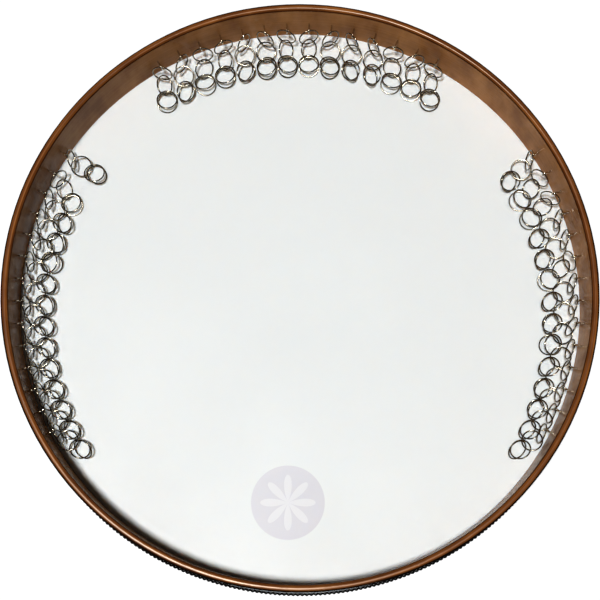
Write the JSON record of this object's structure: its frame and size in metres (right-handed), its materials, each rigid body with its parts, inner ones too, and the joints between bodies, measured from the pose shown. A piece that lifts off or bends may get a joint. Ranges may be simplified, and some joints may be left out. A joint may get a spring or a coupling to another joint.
{
  "type": "ring frame drum",
  "caption": "Shallow round frame drum with a wooden hoop, a stretched white film head, a dark woven trim band and rows of small linked rings that swing from screw eyes inside the frame.",
  "frame": {"origin": "on the drum axis, at the outer face of the head", "axes": "+Z along the drum axis from the head to the open side, +Y towards the middle of the top group of rings, +X towards the right group"},
  "size_m": [0.5642, 0.5642, 0.066],
  "materials": {
    "hoop_wood": "glossy lacquered walnut",
    "head_film": "coated white drum film",
    "trim_braid": "woven braid",
    "eye_nickel": "nickel plated wire",
    "ring_nickel": "nickel plated wire"
  },
  "bodies": {
    "drum": {"frame_hoop": "hoop_wood", "drum_head": "head_film", "head_skirt": "head_film", "trim_braid": "trim_braid", "screw_eyes_left": "eye_nickel", "screw_eyes_top": "eye_nickel", "screw_eyes_right": "eye_nickel"},
    "ring_chain_left_01": {"ring_chain_left_01": "ring_nickel"},
    "ring_chain_left_02": {"ring_chain_left_02": "ring_nickel"},
    "ring_chain_left_03": {"ring_chain_left_03": "ring_nickel"},
    "ring_chain_left_04": {"ring_chain_left_04": "ring_nickel"},
    "ring_chain_left_05": {"ring_chain_left_05": "ring_nickel"},
    "ring_chain_left_06": {"ring_chain_left_06": "ring_nickel"},
    "ring_chain_left_07": {"ring_chain_left_07": "ring_nickel"},
    "ring_chain_left_08": {"ring_chain_left_08": "ring_nickel"},
    "ring_chain_left_09": {"ring_chain_left_09": "ring_nickel"},
    "ring_chain_left_10": {"ring_chain_left_10": "ring_nickel"},
    "ring_chain_left_11": {"ring_chain_left_11": "ring_nickel"},
    "ring_chain_left_12": {"ring_chain_left_12": "ring_nickel"},
    "ring_chain_left_13": {"ring_chain_left_13": "ring_nickel"},
    "ring_chain_left_14": {"ring_chain_left_14": "ring_nickel"},
    "ring_chain_top_01": {"ring_chain_top_01": "ring_nickel"},
    "ring_chain_top_02": {"ring_chain_top_02": "ring_nickel"},
    "ring_chain_top_03": {"ring_chain_top_03": "ring_nickel"},
    "ring_chain_top_04": {"ring_chain_top_04": "ring_nickel"},
    "ring_chain_top_05": {"ring_chain_top_05": "ring_nickel"},
    "ring_chain_top_06": {"ring_chain_top_06": "ring_nickel"},
    "ring_chain_top_07": {"ring_chain_top_07": "ring_nickel"},
    "ring_chain_top_08": {"ring_chain_top_08": "ring_nickel"},
    "ring_chain_top_09": {"ring_chain_top_09": "ring_nickel"},
    "ring_chain_top_10": {"ring_chain_top_10": "ring_nickel"},
    "ring_chain_top_11": {"ring_chain_top_11": "ring_nickel"},
    "ring_chain_top_12": {"ring_chain_top_12": "ring_nickel"},
    "ring_chain_top_13": {"ring_chain_top_13": "ring_nickel"},
    "ring_chain_top_14": {"ring_chain_top_14": "ring_nickel"},
    "ring_chain_right_01": {"ring_chain_right_01": "ring_nickel"},
    "ring_chain_right_02": {"ring_chain_right_02": "ring_nickel"},
    "ring_chain_right_03": {"ring_chain_right_03": "ring_nickel"},
    "ring_chain_right_04": {"ring_chain_right_04": "ring_nickel"},
    "ring_chain_right_05": {"ring_chain_right_05": "ring_nickel"},
    "ring_chain_right_06": {"ring_chain_right_06": "ring_nickel"},
    "ring_chain_right_07": {"ring_chain_right_07": "ring_nickel"},
    "ring_chain_right_08": {"ring_chain_right_08": "ring_nickel"},
    "ring_chain_right_09": {"ring_chain_right_09": "ring_nickel"},
    "ring_chain_right_10": {"ring_chain_right_10": "ring_nickel"},
    "ring_chain_right_11": {"ring_chain_right_11": "ring_nickel"},
    "ring_chain_right_12": {"ring_chain_right_12": "ring_nickel"},
    "ring_chain_right_13": {"ring_chain_right_13": "ring_nickel"},
    "ring_chain_right_14": {"ring_chain_right_14": "ring_nickel"}
  },
  "joints": [
    {"name": "swing_left_01", "type": "hinge", "parent": "drum", "child": "ring_chain_left_01", "pos_m": [-0.22613, 0.13749, 0.03015], "axis": [-0.5195, -0.8545, 0], "range_deg": [0, 115]},
    {"name": "swing_left_02", "type": "hinge", "parent": "drum", "child": "ring_chain_left_02", "pos_m": [-0.23656, 0.11866, 0.03015], "axis": [-0.4484, -0.8939, 0], "range_deg": [0, 115]},
    {"name": "swing_left_03", "type": "hinge", "parent": "drum", "child": "ring_chain_left_03", "pos_m": [-0.24542, 0.09904, 0.03015], "axis": [-0.3742, -0.9273, 0], "range_deg": [0, 115]},
    {"name": "swing_left_04", "type": "hinge", "parent": "drum", "child": "ring_chain_left_04", "pos_m": [-0.25266, 0.07877, 0.03015], "axis": [-0.2976, -0.9547, 0], "range_deg": [0, 115]},
    {"name": "swing_left_05", "type": "hinge", "parent": "drum", "child": "ring_chain_left_05", "pos_m": [-0.25822, 0.05797, 0.03015], "axis": [-0.2191, -0.9757, 0], "range_deg": [0, 115]},
    {"name": "swing_left_06", "type": "hinge", "parent": "drum", "child": "ring_chain_left_06", "pos_m": [-0.26208, 0.0368, 0.03015], "axis": [-0.139, -0.9903, 0], "range_deg": [0, 115]},
    {"name": "swing_left_07", "type": "hinge", "parent": "drum", "child": "ring_chain_left_07", "pos_m": [-0.2642, 0.01538, 0.03015], "axis": [-0.0581, -0.9983, 0], "range_deg": [0, 115]},
    {"name": "swing_left_08", "type": "hinge", "parent": "drum", "child": "ring_chain_left_08", "pos_m": [-0.26458, -0.00615, 0.03015], "axis": [0.0232, -0.9997, 0], "range_deg": [0, 115]},
    {"name": "swing_left_09", "type": "hinge", "parent": "drum", "child": "ring_chain_left_09", "pos_m": [-0.2632, -0.02763, 0.03015], "axis": [0.1044, -0.9945, 0], "range_deg": [0, 115]},
    {"name": "swing_left_10", "type": "hinge", "parent": "drum", "child": "ring_chain_left_10", "pos_m": [-0.26009, -0.04893, 0.03015], "axis": [0.1849, -0.9828, 0], "range_deg": [0, 115]},
    {"name": "swing_left_11", "type": "hinge", "parent": "drum", "child": "ring_chain_left_11", "pos_m": [-0.25525, -0.0699, 0.03015], "axis": [0.2641, -0.9645, 0], "range_deg": [0, 115]},
    {"name": "swing_left_12", "type": "hinge", "parent": "drum", "child": "ring_chain_left_12", "pos_m": [-0.24873, -0.09041, 0.03015], "axis": [0.3416, -0.9398, 0], "range_deg": [0, 115]},
    {"name": "swing_left_13", "type": "hinge", "parent": "drum", "child": "ring_chain_left_13", "pos_m": [-0.24055, -0.11033, 0.03015], "axis": [0.4169, -0.909, 0], "range_deg": [0, 115]},
    {"name": "swing_left_14", "type": "hinge", "parent": "drum", "child": "ring_chain_left_14", "pos_m": [-0.23079, -0.12951, 0.03015], "axis": [0.4894, -0.8721, 0], "range_deg": [0, 115]},
    {"name": "swing_top_01", "type": "hinge", "parent": "drum", "child": "ring_chain_top_01", "pos_m": [-0.13631, 0.22685, 0.03015], "axis": [-0.8572, -0.515, 0], "range_deg": [0, 115]},
    {"name": "swing_top_02", "type": "hinge", "parent": "drum", "child": "ring_chain_top_02", "pos_m": [-0.11726, 0.23725, 0.03015], "axis": [-0.8965, -0.4431, 0], "range_deg": [0, 115]},
    {"name": "swing_top_03", "type": "hinge", "parent": "drum", "child": "ring_chain_top_03", "pos_m": [-0.09742, 0.24607, 0.03015], "axis": [-0.9298, -0.3681, 0], "range_deg": [0, 115]},
    {"name": "swing_top_04", "type": "hinge", "parent": "drum", "child": "ring_chain_top_04", "pos_m": [-0.07693, 0.25322, 0.03015], "axis": [-0.9568, -0.2907, 0], "range_deg": [0, 115]},
    {"name": "swing_top_05", "type": "hinge", "parent": "drum", "child": "ring_chain_top_05", "pos_m": [-0.05593, 0.25867, 0.03015], "axis": [-0.9774, -0.2113, 0], "range_deg": [0, 115]},
    {"name": "swing_top_06", "type": "hinge", "parent": "drum", "child": "ring_chain_top_06", "pos_m": [-0.03454, 0.26239, 0.03015], "axis": [-0.9914, -0.1305, 0], "range_deg": [0, 115]},
    {"name": "swing_top_07", "type": "hinge", "parent": "drum", "child": "ring_chain_top_07", "pos_m": [-0.01293, 0.26433, 0.03015], "axis": [-0.9988, -0.0488, 0], "range_deg": [0, 115]},
    {"name": "swing_top_08", "type": "hinge", "parent": "drum", "child": "ring_chain_top_08", "pos_m": [0.00877, 0.2645, 0.03015], "axis": [-0.9995, 0.0332, 0], "range_deg": [0, 115]},
    {"name": "swing_top_09", "type": "hinge", "parent": "drum", "child": "ring_chain_top_09", "pos_m": [0.03042, 0.2629, 0.03015], "axis": [-0.9934, 0.1149, 0], "range_deg": [0, 115]},
    {"name": "swing_top_10", "type": "hinge", "parent": "drum", "child": "ring_chain_top_10", "pos_m": [0.05186, 0.25952, 0.03015], "axis": [-0.9806, 0.1959, 0], "range_deg": [0, 115]},
    {"name": "swing_top_11", "type": "hinge", "parent": "drum", "child": "ring_chain_top_11", "pos_m": [0.07295, 0.2544, 0.03015], "axis": [-0.9613, 0.2756, 0], "range_deg": [0, 115]},
    {"name": "swing_top_12", "type": "hinge", "parent": "drum", "child": "ring_chain_top_12", "pos_m": [0.09355, 0.24757, 0.03015], "axis": [-0.9354, 0.3535, 0], "range_deg": [0, 115]},
    {"name": "swing_top_13", "type": "hinge", "parent": "drum", "child": "ring_chain_top_13", "pos_m": [0.11352, 0.23907, 0.03015], "axis": [-0.9033, 0.4289, 0], "range_deg": [0, 115]},
    {"name": "swing_top_14", "type": "hinge", "parent": "drum", "child": "ring_chain_top_14", "pos_m": [0.13273, 0.22896, 0.03015], "axis": [-0.8652, 0.5015, 0], "range_deg": [0, 115]},
    {"name": "swing_right_01", "type": "hinge", "parent": "drum", "child": "ring_chain_right_01", "pos_m": [0.22613, 0.13749, 0.03015], "axis": [-0.5195, 0.8545, 0], "range_deg": [0, 115]},
    {"name": "swing_right_02", "type": "hinge", "parent": "drum", "child": "ring_chain_right_02", "pos_m": [0.23656, 0.11866, 0.03015], "axis": [-0.4484, 0.8939, 0], "range_deg": [0, 115]},
    {"name": "swing_right_03", "type": "hinge", "parent": "drum", "child": "ring_chain_right_03", "pos_m": [0.24542, 0.09904, 0.03015], "axis": [-0.3742, 0.9273, 0], "range_deg": [0, 115]},
    {"name": "swing_right_04", "type": "hinge", "parent": "drum", "child": "ring_chain_right_04", "pos_m": [0.25266, 0.07877, 0.03015], "axis": [-0.2976, 0.9547, 0], "range_deg": [0, 115]},
    {"name": "swing_right_05", "type": "hinge", "parent": "drum", "child": "ring_chain_right_05", "pos_m": [0.25822, 0.05797, 0.03015], "axis": [-0.2191, 0.9757, 0], "range_deg": [0, 115]},
    {"name": "swing_right_06", "type": "hinge", "parent": "drum", "child": "ring_chain_right_06", "pos_m": [0.26208, 0.0368, 0.03015], "axis": [-0.139, 0.9903, 0], "range_deg": [0, 115]},
    {"name": "swing_right_07", "type": "hinge", "parent": "drum", "child": "ring_chain_right_07", "pos_m": [0.2642, 0.01538, 0.03015], "axis": [-0.0581, 0.9983, 0], "range_deg": [0, 115]},
    {"name": "swing_right_08", "type": "hinge", "parent": "drum", "child": "ring_chain_right_08", "pos_m": [0.26458, -0.00615, 0.03015], "axis": [0.0232, 0.9997, 0], "range_deg": [0, 115]},
    {"name": "swing_right_09", "type": "hinge", "parent": "drum", "child": "ring_chain_right_09", "pos_m": [0.2632, -0.02763, 0.03015], "axis": [0.1044, 0.9945, 0], "range_deg": [0, 115]},
    {"name": "swing_right_10", "type": "hinge", "parent": "drum", "child": "ring_chain_right_10", "pos_m": [0.26009, -0.04893, 0.03015], "axis": [0.1849, 0.9828, 0], "range_deg": [0, 115]},
    {"name": "swing_right_11", "type": "hinge", "parent": "drum", "child": "ring_chain_right_11", "pos_m": [0.25525, -0.0699, 0.03015], "axis": [0.2641, 0.9645, 0], "range_deg": [0, 115]},
    {"name": "swing_right_12", "type": "hinge", "parent": "drum", "child": "ring_chain_right_12", "pos_m": [0.24873, -0.09041, 0.03015], "axis": [0.3416, 0.9398, 0], "range_deg": [0, 115]},
    {"name": "swing_right_13", "type": "hinge", "parent": "drum", "child": "ring_chain_right_13", "pos_m": [0.24055, -0.11033, 0.03015], "axis": [0.4169, 0.909, 0], "range_deg": [0, 115]},
    {"name": "swing_right_14", "type": "hinge", "parent": "drum", "child": "ring_chain_right_14", "pos_m": [0.23079, -0.12951, 0.03015], "axis": [0.4894, 0.8721, 0], "range_deg": [0, 115]}
  ]
}
